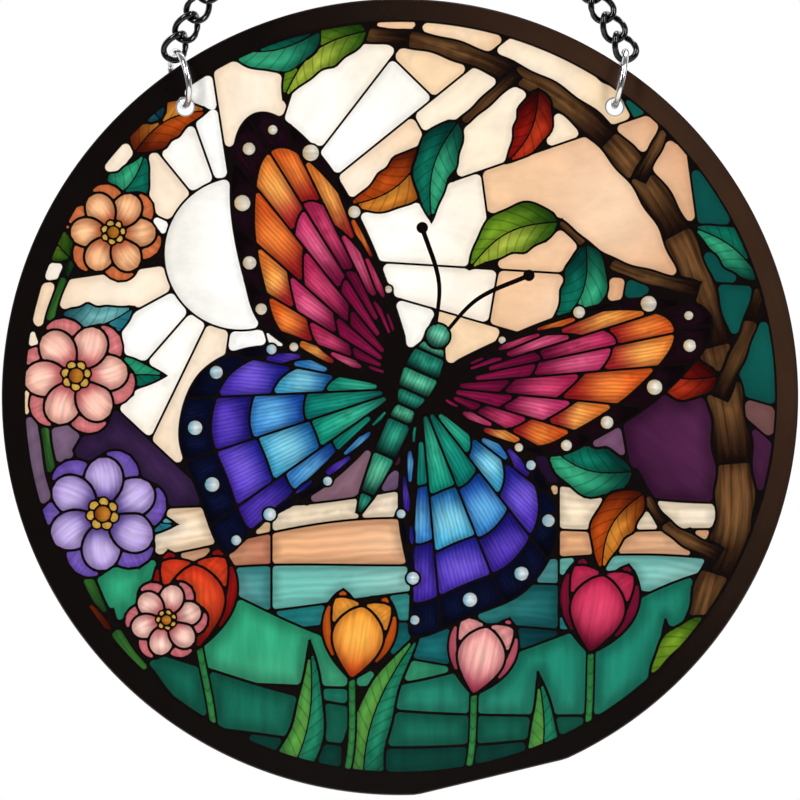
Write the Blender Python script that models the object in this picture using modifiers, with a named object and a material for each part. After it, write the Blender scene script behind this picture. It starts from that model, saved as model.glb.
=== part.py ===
"""A round printed suncatcher: a clear sheet with a picture on it, two split rings and one length of chain.

Metres, +Z up, the picture facing -Y. The origin is where a hook bears, under the upper bar of the middle link.
"""

import math

import bmesh
import bpy
from mathutils import Matrix, Vector

# Sheet
PANEL_DIAMETER = 0.150
PANEL_THICKNESS = 0.003
EDGE_CHAMFER = 0.00025
RIM_FLAT_DEPTH = 0.0014
RIM_FLAT_BEARING = math.radians(166.5)
HOLE_INSET = 0.0070
HOLE_BEARING = math.radians(36.5)
HOLE_PLAY = 0.0020

# Split rings
RING_WIRE = 0.0012
RING_HEADROOM = 0.0013
RING_SPLIT = 0.0003
RING_LEAN = math.radians(11)
RING_YAWS = {"left": math.radians(-18), "right": math.radians(-3)}

# Chain
LINK_WIRE = 0.0012
LINK_PITCH = 0.0042
LINK_SIDE_PLAY = 0.0017
LINK_TWIST = math.radians(45)
LINKS_PER_SIDE = 20
TURN_AT_RING = math.radians(30)
TURN_AT_MIDDLE = math.radians(52)
TURNING_LINKS = 5

SEAT_GAP = 0.0003
CUT_PAST = 0.002

# Facets
RIM_FACETS = 144
HOLE_FACETS = 24
RING_POINTS = 28
LINK_POINTS = 14
LINK_ROUNDNESS = 2.5

# Sizes that follow from those above
panel_radius = PANEL_DIAMETER / 2
hole_diameter = RING_WIRE + HOLE_PLAY
hole_circle = panel_radius - HOLE_INSET
link_width = 2 * LINK_WIRE + max(LINK_WIRE, RING_WIRE) + LINK_SIDE_PLAY
link_length = LINK_PITCH + 2 * LINK_WIRE + SEAT_GAP
link_half_width = (link_width - LINK_WIRE) / 2
link_half_length = (link_length - LINK_WIRE) / 2


def along(bearing, length=1.0):
    """A vector in the sheet's plane, its bearing measured from straight up towards +X."""
    return Vector((length * math.sin(bearing), 0, length * math.cos(bearing)))


def rim_distance(start, way):
    """How far the rim lies from a point of the sheet, in a direction, with the sheet's centre at zero."""
    across = start.dot(way)
    return -across + math.sqrt(across**2 + panel_radius**2 - start.length_squared)


# The left ring, from the sheet's centre: through its hole, up behind the rim and over the lowest link
hole_centre = along(-HOLE_BEARING, hole_circle)
ring_way = along(-RING_LEAN)
ring_span = rim_distance(hole_centre, ring_way) - hole_diameter / 2
ring_inner = ring_span + 2 * SEAT_GAP + LINK_WIRE + RING_HEADROOM
ring_radius = (ring_inner + RING_WIRE) / 2
most_yaw = max(abs(yaw) for yaw in RING_YAWS.values())
ring_half_through = PANEL_THICKNESS / 2 / math.cos(most_yaw)
ring_rise_in_hole = ring_radius - math.sqrt(ring_radius**2 - ring_half_through**2)
ring_aside_in_hole = ring_half_through * math.sin(most_yaw)
ring_room_in_hole = (hole_diameter - RING_WIRE) / 2 - SEAT_GAP
ring_drop = math.sqrt(ring_room_in_hole**2 - ring_aside_in_hole**2) - ring_rise_in_hole
ring_centre = hole_centre + ring_way * (ring_drop + ring_radius)
ring_top = ring_centre + ring_way * ring_radius

# The left run of chain, pulled straight from its ring to one end of the level middle link
link_on_ring = (RING_WIRE + LINK_WIRE) / 2 + SEAT_GAP
link_on_link = LINK_WIRE + SEAT_GAP
highest_end = Vector((link_on_link - link_half_length, -LINK_WIRE / 2, 0))
run_length = 2 * link_half_length + (LINKS_PER_SIDE - 1) * LINK_PITCH - link_on_ring
run_across = Vector((highest_end.x - ring_top.x, highest_end.y, 0))
run_rise = math.sqrt(run_length**2 - run_across.length_squared)
chain_way = (run_across + Vector((0, 0, run_rise))).normalized()
lowest_centre = ring_top + chain_way * (link_half_length - link_on_ring)
middle_centre = Vector((0, 0, ring_top.z + run_rise - highest_end.z))
hang_point = middle_centre + Vector((0, 0, link_half_width - LINK_WIRE / 2))
sheet_centre = -hang_point

# The right side is the left one turned half round
SIDES = {"left": Matrix.Identity(4), "right": Matrix.Rotation(math.pi, 4, "Z")}


def clear_scene():
    for thing in list(bpy.data.objects):
        bpy.data.objects.remove(thing)


def new_collection(name):
    collection = bpy.data.collections.new(name)
    bpy.context.scene.collection.children.link(collection)
    return collection


def principled(name, colour, roughness, metallic):
    material = bpy.data.materials.new(name)
    material.use_nodes = True
    shader = material.node_tree.nodes["Principled BSDF"]
    shader.inputs["Base Color"].default_value = (*colour, 1)
    shader.inputs["Roughness"].default_value = roughness
    shader.inputs["Metallic"].default_value = metallic
    return material


def add_object(name, data, placement, collection):
    """An object placed by a matrix that is measured from the sheet's centre."""
    thing = bpy.data.objects.new(name, data)
    thing.matrix_world = Matrix.Translation(sheet_centre) @ placement
    collection.objects.link(thing)
    return thing


def cylinder_mesh(name, radius, length, facets):
    """A solid round bar along Y."""
    shape = bmesh.new()
    bmesh.ops.create_cone(
        shape, cap_ends=True, segments=facets, radius1=radius, radius2=radius, depth=length
    )
    bmesh.ops.rotate(shape, verts=shape.verts, matrix=Matrix.Rotation(math.pi / 2, 3, "X"))
    mesh = bpy.data.meshes.new(name)
    shape.to_mesh(mesh)
    shape.free()
    return mesh


def block_mesh(name, size):
    """A solid box about its centre."""
    shape = bmesh.new()
    bmesh.ops.create_cube(shape, size=1, matrix=Matrix.Diagonal((*size, 1)))
    mesh = bpy.data.meshes.new(name)
    shape.to_mesh(mesh)
    shape.free()
    return mesh


def cut(target, cutter):
    cutter.hide_render = True
    cutter.display_type = "WIRE"
    modifier = target.modifiers.new(cutter.name, "BOOLEAN")
    modifier.operation = "DIFFERENCE"
    modifier.object = cutter


def make_panel(parts, cutters, material):
    """The clear sheet: round, with a shallow flat on its lower right rim, two drilled holes and eased edges."""
    mesh = cylinder_mesh("panel", panel_radius, PANEL_THICKNESS, RIM_FACETS)
    mesh.materials.append(material)
    panel = add_object("panel", mesh, Matrix.Identity(4), parts)

    through = PANEL_THICKNESS + 2 * CUT_PAST
    block_depth = RIM_FLAT_DEPTH + CUT_PAST
    block = block_mesh("rim_flat_cutter", (panel_radius, through, block_depth))
    reach = along(RIM_FLAT_BEARING, panel_radius - RIM_FLAT_DEPTH + block_depth / 2)
    tilt = Matrix.Rotation(RIM_FLAT_BEARING, 4, "Y")
    cut(panel, add_object("rim_flat_cutter", block, Matrix.Translation(reach) @ tilt, cutters))

    drill = cylinder_mesh("hole_cutter", hole_diameter / 2, through, HOLE_FACETS)
    for side, turned in SIDES.items():
        place = turned @ Matrix.Translation(hole_centre)
        cut(panel, add_object(f"hole_cutter_{side}", drill, place, cutters))

    easing = panel.modifiers.new("eased edges", "BEVEL")
    easing.width = EDGE_CHAMFER
    easing.segments = 1
    easing.limit_method = "ANGLE"
    easing.angle_limit = math.radians(60)


def wire_curve(name, points, diameter, closed, bevel_resolution, material):
    """A round wire along computed points."""
    curve = bpy.data.curves.new(name, "CURVE")
    curve.dimensions = "3D"
    curve.bevel_depth = diameter / 2
    curve.bevel_resolution = bevel_resolution
    curve.use_fill_caps = not closed
    spline = curve.splines.new("POLY")
    spline.points.add(len(points) - 1)
    for knot, place in zip(spline.points, points):
        knot.co = (*place, 1)
    spline.use_cyclic_u = closed
    curve.materials.append(material)
    return curve


def ring_points():
    """A circle in the YZ plane, its ends butted at the back above the sheet, where a jeweller opens it."""
    half_split = RING_SPLIT / ring_radius / 2
    opening = math.radians(30)
    points = []
    for i in range(RING_POINTS + 1):
        angle = opening + half_split + (2 * math.pi - 2 * half_split) * i / RING_POINTS
        points.append((0, ring_radius * math.cos(angle), ring_radius * math.sin(angle)))
    return points


def make_rings(parts, material):
    """Two split rings of round wire, each through its hole and over the rim, turned as it happens to hang."""
    curve = wire_curve("split ring", ring_points(), RING_WIRE, False, 2, material)
    for side, turned in SIDES.items():
        upright = Matrix.Rotation(-RING_LEAN, 4, "Y") @ Matrix.Rotation(-RING_YAWS[side], 4, "Z")
        add_object(f"split_ring_{side}", curve, turned @ Matrix.Translation(ring_centre) @ upright, parts)


def link_points():
    """An oval loop, its two ends turned apart about its length, so that the whole chain lies flat."""
    points = []
    for i in range(LINK_POINTS):
        angle = 2 * math.pi * (i + 0.5) / LINK_POINTS
        across, upwards = math.cos(angle), math.sin(angle)
        x = link_half_width * math.copysign(abs(across) ** (2 / LINK_ROUNDNESS), across)
        z = link_half_length * math.copysign(abs(upwards) ** (2 / LINK_ROUNDNESS), upwards)
        turned = LINK_TWIST * z / link_half_length
        points.append((x * math.cos(turned), x * math.sin(turned), z))
    return points


def make_chain(parts, material):
    """Two straight runs of twisted oval links, turning a little near their ends, and the middle link."""
    curve = wire_curve("chain link", link_points(), LINK_WIRE, True, 1, material)
    lean = Vector((0, 0, 1)).rotation_difference(chain_way).to_matrix().to_4x4()
    for side, turned in SIDES.items():
        for i in range(LINKS_PER_SIDE):
            from_ring = max(0, 1 - i / TURNING_LINKS)
            from_middle = max(0, 1 - (LINKS_PER_SIDE - 1 - i) / TURNING_LINKS)
            own_turn = Matrix.Rotation(TURN_AT_RING * from_ring + TURN_AT_MIDDLE * from_middle, 4, "Z")
            centre = Matrix.Translation(lowest_centre + chain_way * i * LINK_PITCH)
            add_object(f"link_{side}_{i + 1:02d}", curve, turned @ centre @ lean @ own_turn, parts)
    level = Matrix.Translation(middle_centre) @ Matrix.Rotation(math.pi / 2, 4, "Y")
    add_object("link_middle", curve, level, parts)


def main():
    clear_scene()
    parts = new_collection("suncatcher")
    cutters = new_collection("cutters")
    make_panel(parts, cutters, principled("printed acrylic", (0.42, 0.55, 0.50), 0.12, 0.0))
    make_rings(parts, principled("bright steel", (0.78, 0.78, 0.80), 0.18, 1.0))
    make_chain(parts, principled("black plated steel", (0.03, 0.03, 0.035), 0.25, 1.0))


main()
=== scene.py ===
"""Looks of a hanging suncatcher: an acrylic disc printed like leaded glass, on two rings and a chain."""

import math

import bmesh
import bpy
import numpy as np
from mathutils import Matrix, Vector
from mathutils.geometry import delaunay_2d_cdt
from mathutils.kdtree import KDTree


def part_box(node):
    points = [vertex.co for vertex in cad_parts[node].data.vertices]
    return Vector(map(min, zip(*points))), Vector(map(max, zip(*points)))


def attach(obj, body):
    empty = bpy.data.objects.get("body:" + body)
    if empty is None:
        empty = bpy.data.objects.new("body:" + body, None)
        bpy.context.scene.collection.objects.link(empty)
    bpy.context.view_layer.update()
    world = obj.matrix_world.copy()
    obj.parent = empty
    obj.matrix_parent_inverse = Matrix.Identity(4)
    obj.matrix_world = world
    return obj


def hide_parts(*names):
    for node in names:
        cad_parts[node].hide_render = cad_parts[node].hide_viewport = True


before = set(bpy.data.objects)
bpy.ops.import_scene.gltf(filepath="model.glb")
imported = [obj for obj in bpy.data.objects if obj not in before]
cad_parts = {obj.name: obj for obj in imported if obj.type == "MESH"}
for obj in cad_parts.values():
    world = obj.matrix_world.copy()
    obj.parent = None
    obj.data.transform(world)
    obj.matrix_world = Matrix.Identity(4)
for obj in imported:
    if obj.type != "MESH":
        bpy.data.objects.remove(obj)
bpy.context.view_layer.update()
MM = 0.001


# The sheet. One disc of clear cast acrylic, 150 mm across and 3 mm thick, laser cut, with a shallow flat on
# its lower right rim and two drilled holes. Everything printed on it is laid out from its centre in
# millimetres, as complex numbers: the real part runs to the right and the imaginary part up.
low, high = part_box("panel")
SHEET_RADIUS = (high.x - low.x) / 2 / MM
SHEET_THICKNESS = (high.y - low.y) / MM
SHEET_CENTRE = (low + high) / 2
RIM_FLAT_DEPTH, RIM_FLAT_BEARING = 1.4, math.radians(166.5)
HOLE_RADIUS = 1.6
HOLE_INSET, HOLE_BEARING = 7.0, math.radians(36.5)
EDGE_CHAMFER = 0.25


def towards(bearing, length=1.0):
    """A point at a bearing that is measured from straight up, clockwise."""
    return length * complex(math.sin(bearing), math.cos(bearing))


HOLES = [towards(side * HOLE_BEARING, SHEET_RADIUS - HOLE_INSET) for side in (-1, 1)]


def circle(centre, radius, count):
    return centre + radius * np.exp(2j * np.pi * np.arange(count) / count)


def sheet_outline(inset):
    """The disc, pushed in along its flat."""
    ring = circle(0, SHEET_RADIUS - inset, 360)
    out = towards(RIM_FLAT_BEARING)
    past = (ring * np.conj(out)).real - (SHEET_RADIUS - RIM_FLAT_DEPTH - inset)
    return ring - np.maximum(past, 0) * out


# The picture. It is printed in cells, like pieces of glass between dark lines, and later cells cover earlier
# ones. A cell runs along a spine: it has one tone at the spine's start, one at its end and a glow between,
# and the print's fine strokes follow it.
cells = []
draw = np.random.default_rng(11)
LONGEST_STEP = 1.1
SHORTEST_STEP = 0.05


def paint(ink, outline, spine, tones, line=0.26):
    """Adds a cell. The line is half the width of the dark line round it, and -1 stands for no line."""
    outline = np.asarray(outline, complex)
    outline = outline[np.abs(np.roll(outline, -1) - outline) > SHORTEST_STEP]
    dense = []
    for start, end in zip(outline, np.roll(outline, -1)):
        count = max(1, math.ceil(abs(end - start) / LONGEST_STEP))
        dense.append(start + (end - start) * np.arange(count) / count)
    outline = np.concatenate(dense)
    twice_area = (np.conj(outline) * np.roll(outline, -1)).imag.sum()
    cells.append((ink, outline if twice_area > 0 else outline[::-1], np.asarray(spine, complex), tones, line))


# Sky. Wedges of pale rippled glass spread from a low sun at the upper left, each cut across at its own
# distance, and darken to deep teal towards the rim.
SUN = -30 + 27j
SUN_RADIUS = 14.5
RAYS = 19
NEAR_TONES = [
    ("#fdf9f3", "#f8ecdc", "#fffdf9"),
    ("#f8e6d0", "#f2d6b8", "#fcefdf"),
    ("#fefcf8", "#f8f4ec", "#ffffff"),
]
FAR_TONES = [
    ("#f4d8b6", "#e9bd90", "#fae4ca"),
    ("#f0cba8", "#dcaa84", "#f6dabf"),
    ("#faecd8", "#f1d4ae", "#fdf2e2"),
]
RIM_TONES = [
    ("#1b6d62", "#0a3b38", "#2a8d7c"),
    ("#7d5a58", "#3d2a30", "#a07a74"),
    ("#135a55", "#08302f", "#1f7a70"),
]
SUN_TONES = ("#f1eee8", "#fefdfa", "#ffffff")
NEAR_CUTS, FAR_CUTS, BEYOND_RIM = (38, 56), (66, 88), 150
bearings = 2 * np.pi * (np.arange(RAYS) + draw.uniform(-0.25, 0.25, RAYS)) / RAYS
for k in range(RAYS):
    first, last = bearings[k], bearings[(k + 1) % RAYS] + (2 * np.pi if k == RAYS - 1 else 0)
    cuts = [0, draw.uniform(*NEAR_CUTS), draw.uniform(*FAR_CUTS), BEYOND_RIM]
    for n, tones in enumerate((NEAR_TONES, FAR_TONES, RIM_TONES)):
        near, far = cuts[n], cuts[n + 1]
        corners = ((near, first), (far, first), (far, last), (near, last))
        edges = [SUN + reach * np.exp(1j * bearing) for reach, bearing in corners]
        spine = SUN + np.exp(0.5j * (first + last)) * np.linspace(near, far, 6)
        paint("sky", edges, spine, tones[(k + n) % 3], line=0.23)
sun_spine = SUN + np.linspace(-1, 1, 5) * SUN_RADIUS
paint("sky", circle(SUN, SUN_RADIUS, 72), sun_spine, SUN_TONES, line=0.3)


# Mountains. Four peaks beyond the lake, in wine and mauve ink, each with a lit side and a shaded side that
# meet on a broken ridge.
def peak(top, left, right, foot, lit, shaded):
    """A peak over its two sides' feet: left and right are how far along the foot's level they end."""
    ridge = [top + 2.5 - 7j, top - 1.5 - 14j, complex(top.real + 3, foot)]
    paint("hill", [top, *ridge, complex(left, foot)], [top, complex(left, foot)], lit, line=0.28)
    paint("hill", [top, complex(right, foot), *ridge[::-1]], [top, complex(right, foot)], shaded, line=0.28)


peak(-4 + 10j, -40, 26, -24, ("#b08a9c", "#74405c", "#cbaab6"), ("#5e2f4e", "#321830", "#74405f"))
peak(42 + 16j, 8, 88, -24, ("#9c6f92", "#5f2d55", "#b98fae"), ("#54254b", "#2c1230", "#6c3a62"))
peak(-60 + 4j, -98, -30, -24, ("#9a7f9c", "#563c66", "#b49ab4"), ("#432c54", "#231732", "#573b69"))
peak(16 - 1j, -18, 52, -26, ("#8a6a94", "#482a56", "#a588ac"), ("#3a2148", "#1e1228", "#4c2f5c"))


# Lake. Long rippled pieces of glass, printed in five strips, which hold the warm sky in the distance and turn
# teal towards the shore.
WATER_TONES = [
    ("#fbe9cf", "#f0c99e", "#fff6e6"),
    ("#eeb98f", "#c98368", "#f8d6b2"),
    ("#7cc4bb", "#3f8f94", "#b5e2d8"),
    ("#2f8f92", "#16595f", "#57b5ae"),
    ("#17646a", "#0b3a42", "#2a858a"),
]
LAKE_TOP, STRIP_WIDTH, WAVE_HEIGHT = -17, 6.5, 1.4
x = np.linspace(-84, 84, 60)


def bank(n):
    """The wavy upper edge of a strip, which bows down to both sides."""
    wave = WAVE_HEIGHT * np.sin(x / (11 + 2 * n) + 2.1 * n)
    return x + 1j * (LAKE_TOP - STRIP_WIDTH * n + wave - 0.0012 * (x - 20) ** 2)


for n, tones in enumerate(WATER_TONES):
    for first, last in ((0, 22), (21, 41), (40, 60)):
        upper, lower = bank(n)[first:last], bank(n + 1)[first:last]
        paint("water", np.concatenate([upper, lower[::-1]]), (upper + lower) / 2, tones, line=0.24)


# Meadow. Rolling pieces of green glass in front of the lake, printed one over the other, the nearest the
# darkest.
def smooth(knots, count, closed=False):
    """A smooth curve through the knots, evenly sampled."""
    knots = np.asarray(knots, complex)
    if closed:
        padded = np.concatenate([knots[-1:], knots, knots[:2]])
    else:
        padded = np.concatenate([2 * knots[:1] - knots[1:2], knots, 2 * knots[-1:] - knots[-2:-1]])
    spans = len(padded) - 3
    place = np.linspace(0, spans, count, endpoint=not closed)
    i = np.minimum(place.astype(int), spans - 1)
    t = place - i
    a, b, c, d = (padded[i + k] for k in range(4))
    return 0.5 * (2 * b + (c - a) * t + (2 * a - 5 * b + 4 * c - d) * t**2 + (3 * b - a - 3 * c + d) * t**3)


def hill(knots, tones):
    """A hill from its crest down past the rim, darker towards its foot."""
    crest = smooth(knots, 60)
    top, beyond_rim = crest[30], [90 - 90j, -90 - 90j]
    paint("hill", np.concatenate([crest, beyond_rim]), [top, top - 26j], tones, line=0.28)


hill([-86 - 20j, -58 - 24j, -34 - 36j, -8 - 47j, 30 - 54j, 86 - 64j], ("#3fae86", "#14614e", "#62c79d"))
hill([-86 - 52j, -30 - 54j, 0 - 54j, 30 - 45j, 54 - 34j, 86 - 26j], ("#2b8f7a", "#0c4a44", "#48ad93"))
hill([-86 - 38j, -60 - 43j, -40 - 50j, -10 - 58j, 30 - 60j, 86 - 58j], ("#1f7360", "#0b3a36", "#339079"))
hill([-86 - 60j, -40 - 62j, 0 - 66j, 44 - 62j, 86 - 52j], ("#12564c", "#072a2a", "#1f7264"))


# Tulips. Cups of five petals on leaning stems, printed over the meadow, with long blades beside them. A blade
# or leaf is two cells that meet on its midrib.
def ribbon(spine, left, right):
    """The outline of a strip that reaches so far to the left and right of its spine."""
    way = np.gradient(spine)
    side = 1j * way / np.abs(way)
    return np.concatenate([spine + side * left, (spine - side * right)[::-1]])


def bowed(base, tip, bow, count=22):
    """A spine from base to tip that bows to its left by a share of its length."""
    t = np.linspace(0, 1, count)
    return base + (tip - base) * (t + 1j * bow * np.sin(np.pi * t))


def leaf(base, tip, width, bow, tones_left, tones_right):
    """Two halves that meet on the midrib."""
    spine = bowed(base, tip, bow)
    t = np.linspace(0, 1, len(spine))
    half = width / 2 * np.sin(np.pi * t**0.72) ** 0.85
    ripple = 1 + 0.07 * np.sin(t * 19)
    paint("leaf", ribbon(spine, half * ripple, 0 * half), spine, tones_left, line=0.28)
    paint("leaf", ribbon(spine, 0 * half, half * ripple[::-1]), spine, tones_right, line=0.28)


def petal(base, tip, width, bow, tones, sharpness=0.5):
    """One rounded petal, widest past its middle."""
    spine = bowed(base, tip, bow)
    t = np.linspace(0, 1, len(spine))
    half = width / 2 * np.sin(np.pi * t**1.25) ** sharpness
    paint("petal", ribbon(spine, half, half), spine, tones)


BLADE_TONES = [("#0b4a3c", "#4fae62", "#86c95f"), ("#0a3f3a", "#1f8b70", "#3fb58c")]
STEM_TONES = ("#0b4a3c", "#3a9a5c", "#5cb56a")
STEM_WIDTH = 1.5


def blade(base, tip, width, bow):
    leaf(base, tip, width, bow, *BLADE_TONES)


def tulip(base, head, size, tones, back_tones):
    """A stem from base to head and five petals round the head, the two at the back painted first."""
    stem = smooth([base, (base + head) / 2 + 2, head], 24)
    paint("leaf", ribbon(stem, STEM_WIDTH / 2, STEM_WIDTH / 2), stem, STEM_TONES, line=0.2)
    up = (head - base) / abs(head - base)
    for spread, height, width, fold, shades in (
        (0.26, 1.06, 0.52, 0.05, back_tones),
        (-0.26, 1.06, 0.52, -0.05, back_tones),
        (0.38, 0.98, 0.56, -0.16, tones),
        (-0.38, 0.98, 0.56, 0.16, tones),
        (0.0, 0.86, 0.66, 0.0, tones),
    ):
        way = up * np.exp(1j * spread)
        petal(head - up * size * 0.08, head + way * size * height, size * width, fold, shades, sharpness=0.7)


blade(-40 - 82j, -54 - 40j, 9, 0.12)
blade(-30 - 82j, -17 - 46j, 7.5, -0.14)
blade(-6 - 84j, 4 - 44j, 8, 0.12)
blade(16 - 84j, 26 - 52j, 7.5, -0.16)
blade(40 - 80j, 50 - 42j, 8, -0.10)
tulip(-36 - 82j, -38 - 46j, 17, ("#7d0f16", "#e2432a", "#f26a3a"), ("#5d0a14", "#a81a1e", "#c92f26"))
tulip(-14 - 84j, -9 - 52j, 15, ("#c2421a", "#f9a13c", "#ffc765"), ("#96290f", "#e0661f", "#f08a34"))
tulip(8 - 84j, 14 - 55j, 14, ("#b23a5e", "#f7a3a6", "#ffd0c4"), ("#8a2148", "#dc6a82", "#ee8f9a"))
tulip(30 - 82j, 36 - 47j, 16, ("#6b1030", "#c92a5a", "#ea5c80"), ("#4c0a26", "#8d1a42", "#b02c58"))


# Tree. A dark trunk stands along the right rim and arches over the top, in lengths like cut glass, with
# twigs and hanging leaves of several colours.
BARK_TONES = ("#2c1a14", "#6b4a2f", "#8f6a44")


def bough(knots, start_width, end_width, lengths, tones=BARK_TONES):
    """A branch through the knots, cut across into so many lengths, that tapers and swells a little."""
    spine = smooth(knots, 16 * lengths)
    swelling = 1 + 0.10 * np.sin(np.arange(len(spine)) * 0.9)
    half = np.linspace(start_width, end_width, len(spine)) / 2 * swelling
    for n in range(lengths):
        part = slice(n * 16, n * 16 + 17)
        paint("bark", ribbon(spine[part], half[part], half[part]), spine[part], tones, line=0.3)


bough([62 - 74j, 57 - 48j, 63 - 22j, 60 + 6j, 51 + 33j, 33 + 54j, 8 + 66j, -16 + 69j], 9.5, 2.4, 9)
bough([60 + 0j, 66 + 14j, 70 + 30j], 3.6, 1.8, 2)
bough([56 + 20j, 40 + 25j, 30 + 33j], 3.2, 1.2, 2)
bough([45 + 41j, 50 + 52j, 47 + 62j], 2.6, 1.2, 2)
bough([22 + 61j, 12 + 52j, 5 + 47j], 2.4, 1.0, 2)
bough([60 - 30j, 50 - 24j, 44 - 14j], 3.4, 1.2, 2)

LIME = (("#2f6a1c", "#a8c63a", "#d8e46a"), ("#1f4f18", "#6f9e2c", "#9cc23e"))
EMERALD = (("#0a4f47", "#2bb38a", "#5bd3a4"), ("#07403c", "#137a68", "#209a80"))
AMBER = (("#7a2410", "#f08a2a", "#fbb552"), ("#5a180d", "#c9531a", "#e2702a"))
SCARLET = (("#5a0d12", "#cf3420", "#ea5b34"), ("#420a10", "#9a1c18", "#b92c20"))
SKYBLUE = (("#12606e", "#63c5cf", "#a6e4e2"), ("#0e4d5c", "#2f93a6", "#55b4c0"))
for base, tip, width, bow, (left, right) in (
    (30 + 33j, 13 + 24j, 9, -0.14, LIME),
    (35 + 29j, 28 + 12j, 8.5, 0.16, EMERALD),
    (5 + 47j, -10 + 36j, 8.5, 0.14, AMBER),
    (11 + 52j, 6 + 33j, 8, -0.12, EMERALD),
    (47 + 61j, 33 + 70j, 8, 0.12, LIME),
    (49 + 53j, 61 + 44j, 8, 0.14, SCARLET),
    (68 + 22j, 55 + 32j, 7.5, -0.1, EMERALD),
    (44 - 14j, 27 - 8j, 9.5, 0.15, EMERALD),
    (46 - 18j, 38 - 33j, 8, -0.15, AMBER),
    (60 + 4j, 45 + 8j, 8, 0.15, SCARLET),
    (-6 + 69j, -22 + 56j, 8.5, -0.16, LIME),
    (-15 + 69j, -34 + 66j, 8.5, 0.12, EMERALD),
    (26 + 58j, 20 + 44j, 7, 0.12, SCARLET),
    (62 - 44j, 47 - 54j, 8, -0.14, LIME),
):
    leaf(base, tip, width, bow, left, right)


# Blossoms. Open flowers of six petals over six more climb the left rim on a thin stem, among broad leaves,
# each with a ring of seven stamens round its eye.
STAMEN_TONES = ("#c9701c", "#f6c24a", "#ffe08a")
EYE_TONES = ("#7a2a12", "#e08a2c", "#f2b04c")
VINE_TONES = ("#1d3a22", "#3f7a3c", "#5c9a4a")


def blossom(centre, radius, turn, tones, back_tones):
    """A flower seen from the front. Its parts are shares of its radius."""
    for k in range(6):
        way = np.exp(1j * (turn + np.pi / 3 * k + np.pi / 6))
        petal(centre + way * radius * 0.2, centre + way * radius * 0.98, radius * 0.74, 0.08, back_tones)
    for k in range(6):
        way = np.exp(1j * (turn + np.pi / 3 * k))
        petal(centre + way * radius * 0.12, centre + way * radius * 0.86, radius * 0.60, -0.08, tones)
    for k in range(7):
        way = np.exp(1j * (turn + 2 * np.pi / 7 * k))
        stamen = circle(centre + way * radius * 0.17, radius * 0.085, 14)
        paint("petal", stamen, [centre, centre + way * 3], STAMEN_TONES, line=0.18)
    paint("petal", circle(centre, radius * 0.13, 18), [centre - 2, centre + 2], EYE_TONES, line=0.2)


bough([-40 - 62j, -56 - 40j, -66 - 12j, -66 + 14j, -56 + 36j, -44 + 52j], 2.6, 1.2, 6, VINE_TONES)
for base, tip, width, bow, (left, right) in (
    (-66 - 4j, -44 + 4j, 10, 0.14, EMERALD),
    (-65 + 14j, -50 + 17j, 8.5, -0.14, SKYBLUE),
    (-62 + 26j, -68 + 40j, 8, 0.12, LIME),
    (-57 + 36j, -48 + 46j, 8, -0.14, EMERALD),
    (-50 + 46j, -36 + 54j, 8, 0.14, AMBER),
    (-45 + 52j, -50 + 66j, 8, 0.1, SKYBLUE),
    (-61 - 30j, -42 - 24j, 9, 0.14, SKYBLUE),
    (-54 - 44j, -70 - 34j, 8, 0.12, AMBER),
):
    leaf(base, tip, width, bow, left, right)
blossom(-61 + 4j, 11.5, 0.2, ("#d9546a", "#fbb9a8", "#ffe0cf"), ("#b23358", "#ee8a90", "#f7aaa6"))
blossom(-56 - 22j, 12.5, 0.6, ("#5b3aa0", "#b79be0", "#dccdf2"), ("#3b2380", "#7f5fc4", "#a086da"))
blossom(-54 + 31j, 9.5, 0.1, ("#cf5a28", "#fbb07a", "#ffd9ae"), ("#a83a1e", "#ee8450", "#f8a473"))
blossom(-44 - 42j, 8.0, 0.4, ("#d9546a", "#f9c0b4", "#ffe6da"), ("#a82b52", "#e8828e", "#f2a0a2"))


# Butterfly. It is the main figure, seen from above and tilted, with wings of radiating cells that end in a
# dark hem of pale spots. Its axis runs up to its head, and the wings on its right are a little foreshortened.
BUTTERFLY, TILT = 2 + 0j, np.exp(-0.42j)
FORE = np.array([1.6 + 3j, 15 + 20j, 31 + 33j, 45 + 38j, 50 + 33j, 46 + 20j, 38 + 8j, 30 + 0.5j, 14 - 1j])
HIND = np.array([
    1.6 + 1j, 16 + 0.5j, 30 - 3j, 38 - 12j, 37 - 24j, 29 - 33j, 20 - 41j, 16 - 33j, 8 - 22j, 3 - 10j,
])
WING_POINTS, ROOT_POINTS = 240, 12
SMALLEST_SPOT = 0.7


def wing(knots, side, reach, cuts, count, tone_rows, spot):
    """Cells between veins that fan out from the root, in rows from the root to the hem."""
    edge = smooth(knots, WING_POINTS, closed=True)[ROOT_POINTS:-ROOT_POINTS]
    place = BUTTERFLY + TILT * (side * reach * edge.real + 1j * edge.imag)
    root = BUTTERFLY + TILT * complex(side * reach * knots[0].real, knots[0].imag)
    steps = np.linspace(0, len(place) - 1, count + 1).astype(int)
    paint("wing", np.append(place, root), [root, place[len(place) // 2]], tone_rows[0][0], line=0.55)
    for k in range(count):
        arc = place[steps[k] : steps[k + 1] + 1]
        middle = arc[len(arc) // 2]
        wander = 0.05 * math.sin(2.3 * k)
        rows = np.add(cuts, (0, wander, wander, 0, 0))
        for inner, outer, tones in zip(rows, rows[1:], tone_rows):
            near = root + inner * (arc - root) if inner else np.array([root])
            far = root + outer * (arc - root)
            spine = root + (middle - root) * np.linspace(inner, outer, 5)
            paint("wing", np.concatenate([far, near[::-1]]), spine, tones[k % len(tones)], line=0.24)
        width = abs(arc[-1] - arc[0])
        at = root + (cuts[-2] + cuts[-1]) / 2 * (middle - root)
        size = min(0.17 * width, 0.028 * abs(middle - root) + 0.35)
        if size > SMALLEST_SPOT:
            paint("petal", circle(at, size, 16), [at - size, at + size], spot, line=0.2)


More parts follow.
